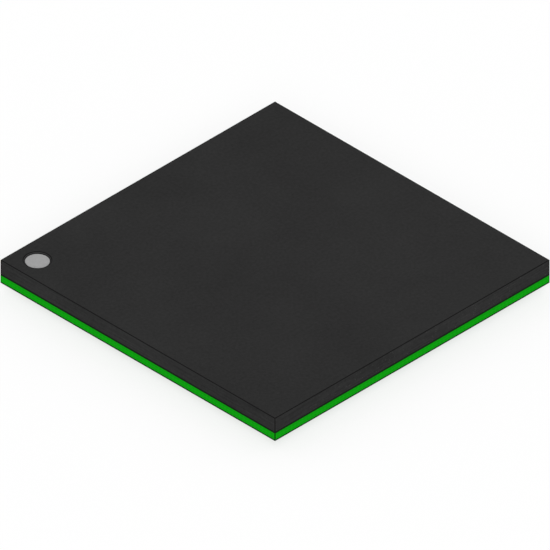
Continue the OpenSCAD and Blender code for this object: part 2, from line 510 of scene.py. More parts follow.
def bridge(bm: bmesh.types.BMesh, lower: Verts, upper: Verts) -> list[bmesh.types.BMFace]:
    """Join two anticlockwise rings with quads.

    Args:
        bm: Mesh to add to.
        lower: First ring.
        upper: Second ring, with as many vertices.

    Returns:
        The faces, which point away from the axis when upper lies above lower.
    """
    pairs = list(zip(lower, upper))
    following = pairs[1:] + pairs[:1]
    return [bm.faces.new((a, c, d, b)) for (a, b), (c, d) in zip(pairs, following)]


def fill(bm: bmesh.types.BMesh, outer: Verts, inner: Verts, up: bool) -> None:
    """Fill the level face between two rings.

    Args:
        bm: Mesh to add to.
        outer: Outer ring.
        inner: Ring of the hole.
        up: Whether the face looks up.
    """
    edges = [bm.edges.get(pair) for loop in (outer, inner) for pair in zip(loop, loop[1:] + loop[:1])]
    made = bmesh.ops.triangle_fill(bm, edges=edges, use_beauty=True)["geom"]
    for face in made:
        if isinstance(face, bmesh.types.BMFace):
            face.normal_update()
            if (face.normal.z > 0) != up:
                face.normal_flip()


def to_mesh(bm: bmesh.types.BMesh, name: str, material: bpy.types.Material) -> bpy.types.Mesh:
    """Turn a working mesh into a mesh with one material.

    Args:
        bm: Working mesh, which is freed.
        name: Name of the mesh.
        material: Its material.

    Returns:
        The mesh.
    """
    mesh = bpy.data.meshes.new(name)
    bm.to_mesh(mesh)
    bm.free()
    mesh.materials.append(material)
    return mesh


def add_piece(name: str, mesh: bpy.types.Mesh, replaced: Sequence[str] = ()) -> None:
    """Put a new piece on the part.

    Args:
        name: Name of the piece.
        mesh: Its mesh, with its place in it.
        replaced: Solids that it stands for.
    """
    piece = bpy.data.objects.new(name, mesh)
    bpy.context.scene.collection.objects.link(piece)
    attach(piece, BODY)
    if replaced:
        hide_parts(*replaced)
    LOG.info("%s: %d faces", name, len(mesh.polygons))


def dress(solid: bpy.types.Object, material: bpy.types.Material) -> None:
    """Give a solid of the frame one material.

    Args:
        solid: Solid to dress.
        material: Its material.
    """
    for slot in solid.material_slots:
        slot.material = material
    LOG.info("%s: %s", solid.name, material.name)


@dataclass(frozen=True)
class MouldFinish:
    """Black moulding compound with a matt skin on top and sawn sides that show the filler."""

    # Sizes of the block, its dimple and the ink in it
    half_mm: float
    base_mm: float
    top_mm: float
    ink_mm: float
    dimple_mm: tuple[float, float]
    rim_radius_mm: float
    # Colours
    dark: Colour = screen(25, 25, 25)
    light: Colour = screen(51, 51, 51)
    # Colour of the painted shade lines along the edges and round the dimple
    edge: Colour = screen(9, 9, 9)
    filler: Colour = screen(82, 82, 80)
    # Painted light: a lighter tone on the wall of the dimple
    polished: Colour = screen(50, 50, 50)
    # Grain and clouds of the skin
    mean_tone: float = 0.46
    grain_per_mm: float = 7.0
    grain_tone: float = 0.8
    grain_depth_mm: float = 0.004
    cloud_per_mm: float = 0.3
    cloud_tone: float = 0.4
    # Saw lines and cut filler grains of the sides
    sawn_tone: float = 0.06
    saw_per_mm: float = 15.0
    saw_run_per_mm: float = 0.5
    saw_tone: float = 0.8
    saw_relief: float = 2.0
    fleck_per_mm: float = 9.0
    fleck_share: float = 0.3
    fleck_reach: float = 0.3
    fleck_tone: float = 0.35
    # Painted shade lines along the edges of the block, round the rim of the dimple and at the foot of its
    # wall, and the share of their width that is fully dark
    edge_mm: float = 0.045
    edge_core: float = 0.3
    rim_mm: float = 0.028
    foot_mm: float = 0.028
    rim_core: float = 0.4
    # Sheen
    roughness: float = 0.62
    grain_roughness: float = 0.3
    sawn_roughness: float = 0.08
    specular: float = 0.05

    def material(self) -> bpy.types.Material:
        """Build the material.

        Returns:
            The finished material.
        """
        shader = Shader("moulding_compound")
        place = shader.place_mm()
        x, y, z = shader.split(place)
        sawn = abs(shader.up()).smooth(*SAWN)
        grain = shader.noise(place, self.grain_per_mm, detail=3.0)
        cloud = shader.noise(place, self.cloud_per_mm)
        run = self.saw_run_per_mm
        lines = shader.noise(shader.stretch(place, (run, run, self.saw_per_mm)), per_mm=1.0)
        tone = self.mean_tone + grain * self.grain_tone + cloud * self.cloud_tone
        tone = tone + sawn * (self.sawn_tone + lines * self.saw_tone)
        colour = shader.blend(tone, self.dark, self.light)
        flecks = shader.flecks(place, self.fleck_per_mm, self.fleck_share, self.fleck_reach)
        colour = shader.blend(flecks * sawn * self.fleck_tone, colour, self.filler)
        inside = self.rim_radius_mm - shader.from_axis(place, self.dimple_mm)
        above_middle = z - (self.base_mm + self.top_mm) / 2
        wall = inside.least(above_middle).smooth(0.0, self.rim_mm)
        # Painted light: the wall of the dimple is made lighter than the top
        colour = shader.blend(wall, colour, self.polished)
        # Painted shade lines along the edges of the block and round the dimple
        return shader.finish(
            Base_Color=shader.blend(self._edges(x, y, z, inside, wall), colour, self.edge),
            Roughness=self.roughness + grain * self.grain_roughness + sawn * self.sawn_roughness,
            Normal=shader.bump(grain + sawn * lines * self.saw_relief, self.grain_depth_mm),
            Specular_IOR_Level=self.specular,
        )

    def _edges(self, x: Signal, y: Signal, z: Signal, inside: Signal, wall: Signal) -> Signal:
        """Find the painted shade lines along the edges of the block and of its dimple.

        Args:
            x: Place along X.
            y: Place along Y.
            z: Place along Z.
            inside: Level distance from the rim of the dimple, towards its middle.
            wall: 1 on the wall of the dimple.

        Returns:
            1 along the edges and 0 elsewhere.
        """
        from_x = self.half_mm - abs(x)
        from_y = self.half_mm - abs(y)
        from_top = self.top_mm - z
        from_z = from_top.least(abs(z - self.base_mm))
        nearest = from_x.most(from_y).least(from_x.most(from_z)).least(from_y.most(from_z))
        # Painted shade along the rim of the dimple and at the foot of its wall, where the ink meets it
        rim = abs(inside).most(from_top).line(self.rim_mm, self.rim_core)
        foot = (z - self.ink_mm).line(self.foot_mm, self.rim_core) * wall
        return nearest.line(self.edge_mm, self.edge_core).most(rim).most(foot)


@dataclass(frozen=True)
class InkFinish:
    """Matt grey marking ink with a fine speckle, and painted shade where it meets the wall of the dimple."""

    # Place and size of the pool
    middle_mm: tuple[float, float]
    radius_mm: float
    # Colours
    pale: Colour = screen(169, 169, 169)
    deep: Colour = screen(150, 150, 150)
    # Colour of the painted shade along the border
    border: Colour = screen(6, 6, 6)
    # Painted shade along the border, and the share of its width that is fully dark
    border_mm: float = 0.022
    border_core: float = 0.4
    # Speckle
    mean_tone: float = 0.5
    speckle_per_mm: float = 10.0
    speckle_tone: float = 0.9
    speckle_depth_mm: float = 0.002
    # Sheen
    roughness: float = 0.6
    speckle_roughness: float = 0.3
    specular: float = 0.04

    def material(self) -> bpy.types.Material:
        """Build the material.

        Returns:
            The finished material.
        """
        shader = Shader("marking_ink")
        place = shader.place_mm()
        speckle = shader.noise(place, self.speckle_per_mm, detail=3.0)
        colour = shader.blend(self.mean_tone + speckle * self.speckle_tone, self.deep, self.pale)
        from_wall = self.radius_mm - shader.from_axis(place, self.middle_mm)
        # Painted shade along the border, where the ink meets the wall of the dimple
        border_shade = from_wall.line(self.border_mm, self.border_core)
        return shader.finish(
            Base_Color=shader.blend(border_shade, colour, self.border),
            Roughness=self.roughness + speckle * self.speckle_roughness,
            Normal=shader.bump(speckle, self.speckle_depth_mm),
            Specular_IOR_Level=self.specular,
        )


@dataclass(frozen=True)
class LaminateFinish:
    """Green glass-epoxy sheet, whose sawn edge shows the yarns of its glass cloth."""

    # Name, place and size of the sheet, and the lowest and highest level of the stack that it is in
    name: str
    middle_mm: float
    height_mm: float
    half_mm: float
    stack_mm: tuple[float, float]
    # Colours
    resin: Colour = screen(4, 154, 6)
    glass: Colour = screen(10, 168, 12)
    shade: Colour = screen(2, 136, 4)
    # Colour of the painted shade lines
    edge_shade: Colour = screen(1, 40, 2)
    # Painted shade lines along the outer edges of the stack, and the share of their width that is fully dark
    edge_shade_mm: float = 0.05
    edge_shade_core: float = 0.4
    # Yarns, with their swing and where their edges fade out and in, in shares of the sheet's height
    yarn_pitch_mm: float = 0.46
    yarn_swing: float = 0.2
    weft_edge: tuple[float, float] = (0.18, 0.08)
    warp_edge: tuple[float, float] = (0.22, 0.1)
    # How far a warp yarn has to have swung before it fades in
    warp_swung: tuple[float, float] = (0.4, 0.9)
    yarn_tone: float = 0.55
    yarn_depth_mm: float = 0.002
    # Clouds of the resin
    mean_tone: float = 0.5
    cloud_per_mm: float = 1.3
    cloud_tone: float = 1.2
    # Sheen
    roughness: float = 0.5
    cloud_roughness: float = 0.3
    specular: float = 0.02

    def material(self) -> bpy.types.Material:
        """Build the material.

        Returns:
            The finished material.
        """
        shader = Shader(self.name + "_glass_epoxy")
        place = shader.place_mm()
        x, y, z = shader.split(place)
        wave = ((x + y) * (math.tau / self.yarn_pitch_mm)).sine()
        across = (z - self.middle_mm) / self.height_mm
        swing = wave * self.yarn_swing
        warp = abs(across + swing).smooth(*self.warp_edge) * abs(wave).smooth(*self.warp_swung)
        yarns = abs(across - swing).smooth(*self.weft_edge).most(warp)
        cloud = shader.noise(place, self.cloud_per_mm, detail=3.0)
        colour = shader.blend(self.mean_tone + cloud * self.cloud_tone, self.shade, self.resin)
        colour = shader.blend(yarns * self.yarn_tone, colour, self.glass)
        # Painted shade lines along the top and bottom of the stack and at its corners
        corner = (self.half_mm - abs(x)).most(self.half_mm - abs(y))
        from_edge = abs(z - self.stack_mm[0]).least(abs(z - self.stack_mm[1])).least(corner)
        edge_shade = from_edge.line(self.edge_shade_mm, self.edge_shade_core) * abs(shader.up()).smooth(*SAWN)
        return shader.finish(
            Base_Color=shader.blend(edge_shade, colour, self.edge_shade),
            Roughness=self.roughness + cloud * self.cloud_roughness,
            Normal=shader.bump(yarns, self.yarn_depth_mm),
            Specular_IOR_Level=self.specular,
        )


@dataclass(frozen=True)
class LacquerFinish:
    """Green solder mask: a glossy film, with painted shade on its sawn edge."""

    name: str
    film: Colour
    deep: Colour
    # Colour of the painted shade on the sawn edge
    edge: Colour = screen(1, 24, 2)
    # Upward part of the facing at which the film begins and at which it is whole
    facing: tuple[float, float] = (0.2, 0.5)
    # Orange peel, with a finer one on it
    mean_tone: float = 0.5
    peel_per_mm: float = 1.6
    peel_tone: float = 0.9
    peel_depth_mm: float = 0.004
    fine_per_mm: float = 9.6
    fine_tone: float = 0.4
    fine_relief: float = 0.2
    # Sheen
    roughness: float = 0.45
    fine_roughness: float = 0.2
    coat: float = 0.3
    coat_roughness: float = 0.12
    specular: float = 0.05

    def material(self) -> bpy.types.Material:
        """Build the material.

        Returns:
            The finished material.
        """
        shader = Shader(self.name)
        place = shader.place_mm()
        peel = shader.noise(place, self.peel_per_mm)
        fine = shader.noise(place, self.fine_per_mm)
        tone = self.mean_tone + peel * self.peel_tone + fine * self.fine_tone
        # The film is on the level faces; the upright sawn edge takes the painted shade
        level = abs(shader.up()).smooth(*self.facing)
        return shader.finish(
            Base_Color=shader.blend(level, self.edge, shader.blend(tone, self.deep, self.film)),
            Roughness=self.roughness + fine * self.fine_roughness,
            Coat_Weight=level * self.coat,
            Normal=shader.bump(peel + fine * self.fine_relief, self.peel_depth_mm),
            Specular_IOR_Level=self.specular,
            Coat_Roughness=self.coat_roughness,
        )


# Only the sawn edge of the upper lacquer shows, so the whole of it is dark, like the painted shade on that
# edge
UPPER_LACQUER = LacquerFinish("upper_lacquer", film=screen(6, 56, 18), deep=screen(4, 44, 14))
LOWER_LACQUER = LacquerFinish("lower_lacquer", film=screen(14, 104, 34), deep=screen(8, 84, 26))
RAISED_LACQUER = LacquerFinish("lacquer_over_copper", film=screen(52, 142, 62), deep=screen(38, 124, 50))


@dataclass(frozen=True)
class MetalFinish:
    """Bare metal with a crystalline tone and a fine tooth."""

    name: str
    bright: Colour
    dull: Colour
    roughness: float
    crystal_per_mm: float
    # Tone of the crystals and of the clouds over them
    mean_tone: float = 0.35
    crystal_tone: float = 0.3
    clouds_per_crystal: float = 0.5
    cloud_tone: float = 0.8
    # Relief and sheen
    tooth_depth_mm: float = 0.002
    crystal_relief: float = 0.2
    crystal_roughness: float = 0.08
    cloud_roughness: float = 0.12

    def material(self) -> bpy.types.Material:
        """Build the material.

        Returns:
            The finished material.
        """
        shader = Shader(self.name)
        place = shader.place_mm()
        _, draw = shader.cells(place, self.crystal_per_mm)
        cloud = shader.noise(place, self.clouds_per_crystal * self.crystal_per_mm, detail=3.0)
        tone = self.mean_tone + draw * self.crystal_tone + cloud * self.cloud_tone
        return shader.finish(
            Base_Color=shader.blend(tone, self.dull, self.bright),
            Metallic=1.0,
            Roughness=self.roughness + draw * self.crystal_roughness + cloud * self.cloud_roughness,
            Normal=shader.bump(cloud + draw * self.crystal_relief, self.tooth_depth_mm),
        )


TIN_SOLDER = MetalFinish(
    "tin_solder",
    bright=screen(192, 192, 195),
    dull=screen(150, 151, 155),
    roughness=0.2,
    crystal_per_mm=9.0,
)
COPPER_FOIL = MetalFinish(
    "copper_foil",
    bright=screen(214, 140, 100),
    dull=screen(176, 104, 70),
    roughness=0.32,
    crystal_per_mm=4.0,
)
GOLD_WIRE = MetalFinish(
    "gold_bond_wire",
    bright=screen(246, 206, 118),
    dull=screen(222, 172, 84),
    roughness=0.16,
    crystal_per_mm=20.0,
)


@dataclass(frozen=True)
class SiliconFinish:
    """Polished silicon, whose upper face has bond pads along its edges round a plan of circuit blocks."""

    # Half the chip, the distance between opposite rows of pads, and the length and number of a row
    half_mm: float
    pad_rows_mm: float
    pad_run_mm: float
    pads_per_side: int
    # Colours
    bare: Colour = screen(58, 62, 70)
    logic: Colour = screen(66, 84, 104)
    memory: Colour = screen(100, 82, 108)
    street: Colour = screen(126, 132, 134)
    pad: Colour = screen(204, 204, 198)
    # Upward part of the facing at which the upper face begins and at which it is whole
    facing: tuple[float, float] = (0.4, 0.8)
    # Width of a pad, and the shares of it at which its edge fades out and in
    pad_mm: float = 0.07
    pad_edge: tuple[float, float] = (0.55, 0.45)
    # Circuit blocks, shifted and narrowed row by row and bent to different sizes, with streets between them
    plan_margin_mm: float = 0.26
    block_mm: tuple[float, float] = (1.25, 0.85)
    block_shift: float = 0.4
    block_narrowing: float = 0.7
    narrowed_rows: int = 2
    street_mm: float = 0.02
    bend_mm: float = 0.25
    bend_per_mm: float = 0.3
    # Cells in the blocks
    cell_mm: float = 0.16
    cell_tone: float = 0.3
    # Sheen
    metallic: float = 0.6
    roughness: float = 0.22
    sheen_per_mm: float = 1.0
    sheen_roughness: float = 0.1

    def material(self) -> bpy.types.Material:
        """Build the material.

        Returns:
            The finished material.
        """
        shader = Shader("chip_silicon")
        place = shader.place_mm()
        x, y, _ = shader.split(place)
        edge = self.half_mm - self.plan_margin_mm
        planned = abs(x).most(abs(y)).smooth(edge, edge - self.street_mm)
        colour = shader.blend(planned, self.bare, self._plan(shader, x, y))
        colour = shader.blend(self._pads(x, y).most(self._pads(y, x)), colour, self.pad)
        return shader.finish(
            Base_Color=shader.blend(shader.up().smooth(*self.facing), self.bare, colour),
            Metallic=self.metallic,
            Roughness=self.roughness + shader.noise(place, self.sheen_per_mm) * self.sheen_roughness,
        )

    def _plan(self, shader: Shader, x: Signal, y: Signal) -> Signal:
        """Lay out circuit blocks of different sizes with streets between them.

        Args:
            shader: Material that is being built.
            x: Place along X.
            y: Place along Y.

        Returns:
            The colour of the blocks and streets.
        """
        bend = math.tau * self.bend_per_mm
        bent = shader.join(x + (x * bend).sine() * self.bend_mm, y + (y * bend).sine() * self.bend_mm, 0.0)
        settings = {
            "offset": self.block_shift,
            "squash": self.block_narrowing,
            "squash_frequency": self.narrowed_rows,
        }
        sockets = {
            "Vector": bent,
            "Color1": BLACK,
            "Color2": WHITE,
            "Scale": 1.0,
            "Mortar Size": self.street_mm,
            "Brick Width": self.block_mm[0],
            "Row Height": self.block_mm[1],
        }
        blocks = shader.add("ShaderNodeTexBrick", settings, sockets, "Color")
        draw, _, _ = shader.split(blocks)
        across = (x * (math.tau / self.cell_mm)).sine()
        along = (y * (math.tau / self.cell_mm)).sine()
        cells = along * (1 - draw) + along * across * draw
        colour = shader.blend(draw, self.logic, self.memory)
        colour = shader.blend((1 + cells) / 2 * self.cell_tone, colour, self.bare)
        return shader.blend(blocks.output("Fac"), colour, self.street)

    def _pads(self, across: Signal, along: Signal) -> Signal:
        """Find the bond pads along two opposite edges.

        Args:
            across: Place from edge to edge.
            along: Place along the edges.

        Returns:
            1 on a pad and 0 elsewhere.
        """
        pitch = self.pad_run_mm / (self.pads_per_side - 1)
        slot = (along + self.pad_run_mm / 2) / pitch
        from_slot = abs(slot - slot.nearest()) * pitch
        past_last = abs(along) - self.pad_run_mm / 2
        from_row = abs(abs(across) - self.pad_rows_mm / 2)
        share_of_pad = from_slot.most(past_last).most(from_row) / self.pad_mm
        return share_of_pad.smooth(*self.pad_edge)


@dataclass(frozen=True)
class AdhesiveFinish:
    """Silver-filled die adhesive."""

    paste: Colour = screen(150, 148, 140)
    flake: Colour = screen(205, 204, 198)
    # Flakes of silver
    flake_per_mm: float = 14.0
    flake_share: float = 0.6
    flake_reach: float = 0.4
    flake_tone: float = 0.8
    flake_metallic: float = 0.7
    # Sheen
    roughness: float = 0.5
    cloud_per_mm: float = 2.8
    cloud_roughness: float = 0.3

    def material(self) -> bpy.types.Material:
        """Build the material.

        Returns:
            The finished material.
        """
        shader = Shader("die_paste")
        place = shader.place_mm()
        flakes = shader.flecks(place, self.flake_per_mm, self.flake_share, self.flake_reach)
        return shader.finish(
            Base_Color=shader.blend(flakes * self.flake_tone, self.paste, self.flake),
            Metallic=flakes * self.flake_metallic,
            Roughness=self.roughness + shader.noise(place, self.cloud_per_mm) * self.cloud_roughness,
        )


class MapSheet(NamedTuple):
    """A part of a bake map: the axes that run across and up it, and its place and size on the map."""

    across: Axis
    up: Axis
    left: float
    foot: float
    width: float
    height: float


@dataclass
class MouldedBlock:
    """The moulded block with its index dimple and the ink on the dimple's floor."""

    # Box of the block, level of its lower edges, box of the ink and radius of the rim of the dimple
    low: Vector
    high: Vector
    base: float
    ink_low: Vector
    ink_high: Vector
    rim_radius: float
    # Solids of the frame
    block: str = "mould_cap"
    ink: str = "pin_one_mark"
    # Radius of the broken edges, and the faces across one
    edge_break: float = 0.015 * MM
    edge_steps: int = 3
    dimple_segments: int = 48
    # Sag of the ink, and the rings of its face from the wall inwards, in shares of its radius
    ink_sag: float = 0.005 * MM
    ink_rings: tuple[float, ...] = (1.0, 0.95, 0.88, 0.7)
    # Share of the bake map's side that the top face takes, and the gap between the parts of the map
    map_top: float = 0.74
    map_gap: float = 0.008

    @classmethod
    def from_frame(cls, solids: Solids) -> MouldedBlock:
        """Take the sizes from the solids.

        Args:
            solids: Solids of the frame by name.

        Returns:
            The block.
        """
        low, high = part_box(cls.block)
        ink_low, ink_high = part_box(cls.ink)
        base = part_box(UPPER_MASK)[1].z
        middle = (ink_low + ink_high) / 2
        points = [vert.co for vert in solids[cls.block].data.vertices]
        rim_radius = min((point - middle).xy.length for point in points if high.z - point.z < NEAR)
        return cls(low, high, base, ink_low, ink_high, rim_radius)

    @property
    def dimple(self) -> Vector:
        """Middle of the dimple, on its floor."""
        middle = (self.ink_low + self.ink_high) / 2
        return Vector((middle.x, middle.y, self.ink_low.z))

    @property
    def ink_radius(self) -> float:
        """Radius of the face of the ink."""
        return (self.ink_high.x - self.ink_low.x) / 2

    @property
    def wall_lean(self) -> float:
        """How far the wall of the dimple leans out for each unit of height."""
        return (self.rim_radius - self.ink_radius) / (self.high.z - self.ink_high.z)

    @property
    def floor_radius(self) -> float:
        """Radius of the floor of the dimple, under the ink."""
        return self.ink_radius - self.wall_lean * (self.ink_high.z - self.ink_low.z)

    def build(self, solids: Solids) -> None:
        """Make the block and the ink.

        Args:
            solids: Solids of the frame by name.
        """
        middle = (self.dimple.x / MM, self.dimple.y / MM)
        compound = MouldFinish(
            half_mm=self.high.x / MM,
            base_mm=self.base / MM,
            top_mm=self.high.z / MM,
            ink_mm=self.ink_high.z / MM,
            dimple_mm=middle,
            rim_radius_mm=self.rim_radius / MM,
        ).material()
        dress(solids[self.block], compound)
        mesh = self._block_mesh(solids[self.block].data, compound)
        add_piece("moulded_block", mesh, [self.block])
        ink = InkFinish(middle, self.ink_radius / MM).material()
        dress(solids[self.ink], ink)
        add_piece("index_ink_pool", self._ink_mesh(ink), [self.ink])

    def _is_skin(self, face: bmesh.types.BMFace) -> bool:
        """Tell whether a face is on the sides, the top or the dimple.

        Args:
            face: Face of the solid.

        Returns:
            True if the new skin takes its place.
        """
        points = [vert.co for vert in face.verts]
        for axis in (Axis.X, Axis.Y):
            if all(abs(abs(point[axis]) - self.high[axis]) < NEAR for point in points):
                return True
        if all(self.high.z - point.z < NEAR for point in points):
            return True
        reach = self.rim_radius + NEAR
        level = self.dimple.z - NEAR
        return all(point.z > level and (point - self.dimple).xy.length < reach for point in points)

    def _block_mesh(self, solid: bpy.types.Mesh, material: bpy.types.Material) -> bpy.types.Mesh:
        """Copy the solid and give it a new skin with broken edges.

        Args:
            solid: Mesh of the block in the frame.
            material: Its material.

        Returns:
            The closed mesh.
        """
        bare = bpy.data.meshes.new("moulded_block_bare")
        corners = [vert.co for vert in solid.vertices]
        bare.from_pydata(corners, [], [tuple(face.vertices) for face in solid.polygons])
        bm = bmesh.new()
        bm.from_mesh(bare)
        bpy.data.meshes.remove(bare)
        bmesh.ops.remove_doubles(bm, verts=bm.verts, dist=MERGE)
        skin = [face for face in bm.faces if self._is_skin(face)]
        bmesh.ops.delete(bm, geom=skin, context="FACES")
        top = self._add_sides(bm)
        rim = self._add_dimple(bm)
        fill(bm, top, rim, up=True)
        mesh = to_mesh(bm, "moulded_block", material)
        self._unwrap(mesh)
        return mesh

    def _unwrap(self, mesh: bpy.types.Mesh) -> None:
        """Lay out a bake map with most of its room for the top face and least for what is sealed inside.

        Args:
            mesh: Mesh of the block.
        """
        layer = mesh.uv_layers.new(name=BAKE_MAP)
        size = self.high - self.low
        for face in mesh.polygons:
            sheet = self._sheet(face)
            for corner in face.loop_indices:
                place = mesh.vertices[mesh.loops[corner].vertex_index].co - self.low
                across = sheet.left + sheet.width * place[sheet.across] / size[sheet.across]
                up = sheet.foot + sheet.height * place[sheet.up] / size[sheet.up]
                layer.uv[corner].vector = (across, up)

    def _sheet(self, face: bpy.types.MeshPolygon) -> MapSheet:
        """Choose the part of the bake map that a face goes to.

        Args:
            face: Face of the block.

        Returns:
            The part for the top face, for one of the sides or for what is sealed inside.
        """
        gap = self.map_gap
        top = self.map_top
        foot = 1 - gap - top
        if face.normal.z > ALONG and face.center.z > self.dimple.z - NEAR:
            return MapSheet(Axis.X, Axis.Y, gap, foot, top, top)
        strip = (foot - gap) / len(SIDES)
        for number, (axis, sign) in enumerate(SIDES):
            outside = sign * face.center[axis] > self.high[axis] - self.edge_break
            if outside and sign * face.normal[axis] > ALONG:
                along = Axis.Y if axis == Axis.X else Axis.X
                return MapSheet(along, Axis.Z, gap, gap + number * strip, 1 - 2 * gap, strip - gap)
        return MapSheet(Axis.X, Axis.Y, top + 2 * gap, foot, 1 - top - 3 * gap, top)

    def _add_sides(self, bm: bmesh.types.BMesh) -> Verts:
        """Add the four sides and the broken upper edge.

        Args:
            bm: Mesh that keeps the underside of the block.

        Returns:
            The corners of the top face.
        """
        lower = [vert for vert in bm.verts if abs(abs(vert.co.x) - self.high.x) < NEAR]
        lower = [vert for vert in lower if abs(abs(vert.co.y) - self.high.y) < NEAR]
        lower.sort(key=lambda vert: math.atan2(vert.co.y, vert.co.x))
        signs = [(math.copysign(1, vert.co.x), math.copysign(1, vert.co.y)) for vert in lower]
        for step in range(self.edge_steps + 1):
            turn = math.pi / 2 * step / self.edge_steps
            inset = self.edge_break * (1 - math.cos(turn))
            height = self.high.z - self.edge_break * (1 - math.sin(turn))
            reach_x = self.high.x - inset
            reach_y = self.high.y - inset
            upper = [bm.verts.new((x * reach_x, y * reach_y, height)) for x, y in signs]
            bridge(bm, lower, upper)
            lower = upper
        return lower

    def _add_dimple(self, bm: bmesh.types.BMesh) -> Verts:
        """Add the index dimple with a broken rim.

        Args:
            bm: Mesh to add to.

        Returns:
            The rim in the top face.
        """
        level = self.high.z - self.dimple.z
        steepness = math.atan2(1.0, self.wall_lean)
        widest = self.rim_radius + self.edge_break * math.tan(steepness / 2)
        profile = []
        for step in range(self.edge_steps + 1):
            turn = steepness * step / self.edge_steps
            drop = self.edge_break * (1 - math.cos(turn))
            profile.append((widest - self.edge_break * math.sin(turn), level - drop))
        profile.append((self.floor_radius, 0.0))
        rings = []
        for radius, height in profile:
            rings.append(ring(bm, self.dimple + Vector((0, 0, height)), radius, self.dimple_segments))
        for upper, lower in zip(rings, rings[1:]):
            for face in bridge(bm, upper, lower):
                face.smooth = True
        bm.faces.new(rings[-1])
        return rings[0]

    def _ink_mesh(self, material: bpy.types.Material) -> bpy.types.Mesh:
        """Make the pool of ink, which creeps up at the wall of the dimple.

        Args:
            material: Its material.

        Returns:
            The closed mesh.
        """
        bm = bmesh.new()
        depth = self.ink_high.z - self.ink_low.z
        radius = self.ink_radius - MERGE
        lower = ring(bm, self.dimple, self.floor_radius - MERGE, self.dimple_segments)
        bm.faces.new(lower[::-1])
        for share in self.ink_rings:
            sag = self.ink_sag * (1 - share) / (1 - self.ink_rings[-1])
            middle = self.dimple + Vector((0, 0, depth - sag))
            upper = ring(bm, middle, radius * share, self.dimple_segments)
            for face in bridge(bm, lower, upper):
                face.smooth = share < 1.0
            lower = upper
        bm.faces.new(lower)
        return to_mesh(bm, "index_ink_pool", material)


@dataclass
class BallGrid:
    """The grid of solder balls, one piece for each lettered row."""

    # Solids of the rows
    rows: list[str]
    # A ball, its height under the board, and its neck up to the land
    radius: float
    standoff: float
    neck_radius: float
    land_level: float
    # Places of the balls
    pitch: float
    balls_per_row: int
    # What the names of the solids start with
    prefix: str = "solder_balls_row_"
    # Faces round a ball and up its side
    segments: int = 16
    rings: int = 7

    @classmethod
    def from_frame(cls, solids: Solids) -> BallGrid:
        """Take the sizes from the solids.

        Args:
            solids: Solids of the frame by name.

        Returns:
            The grid.
        """
        rows = sorted(name for name in solids if name.startswith(cls.prefix))
        first_low, first_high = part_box(rows[0])
        second_low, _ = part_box(rows[1])
        pitch = abs(first_low.y - second_low.y)
        run = first_high.x - first_low.x
        balls = 1 + math.floor(run / pitch)
        radius = (run - (balls - 1) * pitch) / 2
        points = [vert.co for vert in solids[rows[0]].data.vertices]
        neck_low = min(point.x for point in points if first_high.z - point.z < NEAR)
        neck_radius = first_low.x + radius - neck_low
        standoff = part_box(LOWER_MASK)[0].z
        return cls(rows, radius, standoff, neck_radius, first_high.z, pitch, balls)

    @property
    def span(self) -> float:
        """Distance from the first ball of a row to the last."""
        return (self.balls_per_row - 1) * self.pitch

    @property
    def seat_radius(self) -> float:
        """Radius of the flat on which a ball meets the board."""
        return math.sqrt(self.radius**2 - (self.standoff - self.radius) ** 2)

    def build(self, solids: Solids) -> None:
        """Make every row.

        Args:
            solids: Solids of the frame by name.
        """
        solder = TIN_SOLDER.material()
        tree = self._tree(solder)
        for row in self.rows:
            dress(solids[row], solder)
            low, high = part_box(row)
            first = (-self.span / 2, (low.y + high.y) / 2, 0.0)
            name = "ball_row_" + row.removeprefix(self.prefix)
            mesh = tree.mesh(name, bpy.data.meshes.new(name + "_seed"), {"First ball": first})
            add_piece(name, mesh, [row])

    def _tree(self, solder: bpy.types.Material) -> GeometryTree:
        """Build the tree that bends a sheet into a ball with a neck and repeats it along a row.

        Args:
            solder: Material of the balls.

        Returns:
            The tree, which takes the place of a row's first ball in each run.
        """
        tree = GeometryTree("solder_ball_row")
        balls = tree.input("Balls", SocketKind.COUNT, self.balls_per_row)
        pitch = tree.input("Pitch", SocketKind.FLOAT, self.pitch)
        first = tree.input("First ball", SocketKind.POINT)
        radius = tree.input("Radius", SocketKind.FLOAT, self.radius)
        standoff = tree.input("Standoff", SocketKind.FLOAT, self.standoff)
        neck = tree.input("Neck radius", SocketKind.FLOAT, self.neck_radius)
        level = tree.input("Land level", SocketKind.FLOAT, self.land_level)
        rings = tree.input("Rings", SocketKind.COUNT, self.rings)
        segments = tree.input("Segments", SocketKind.COUNT, self.segments)
        material = tree.input("Solder", SocketKind.MATERIAL, solder)
        # Steps up the sheet: one for each ring of the ball, then in to the neck, up to the land and in again
        steps = rings + 3
        sizes = {"Size X": 1.0, "Size Y": 1.0, "Vertices X": segments + 1, "Vertices Y": steps + 1}
        sheet = tree.add("GeometryNodeMeshGrid", None, sizes)
        # The sheet is a unit square round the origin
        along, up, _ = tree.split(tree.add("GeometryNodeInputPosition"))
        turn = (along + 0.5) * math.tau
        step = (up + 0.5) * steps
        seat = ((standoff - radius) / radius).arcsine()
        lift = (step / rings).least(1.0) * (seat + math.pi / 2) - math.pi / 2
        reach = radius * lift.cosine()
        reach = reach + (neck - reach) * (step - rings).within()
        reach = reach * (steps - step).within()
        height = radius + radius * lift.sine() + (level - standoff) * (step - rings - 1).within()
        place = tree.join(reach * turn.cosine(), reach * turn.sine(), height)
        bent = tree.add("GeometryNodeSetPosition", None, {"Geometry": sheet, "Position": place})
        ball = tree.add("GeometryNodeMergeByDistance", None, {"Geometry": bent, "Distance": MERGE})
        ball = tree.add("GeometryNodeSetShadeSmooth", None, {"Geometry": ball})
        offset = tree.join(pitch, 0.0, 0.0)
        points = {"Count": balls, "Start Location": first, "Offset": offset}
        line = tree.add("GeometryNodeMeshLine", {"mode": "OFFSET"}, points)
        row = tree.add("GeometryNodeInstanceOnPoints", None, {"Points": line, "Instance": ball})
        tree.close(row, material)
        return tree


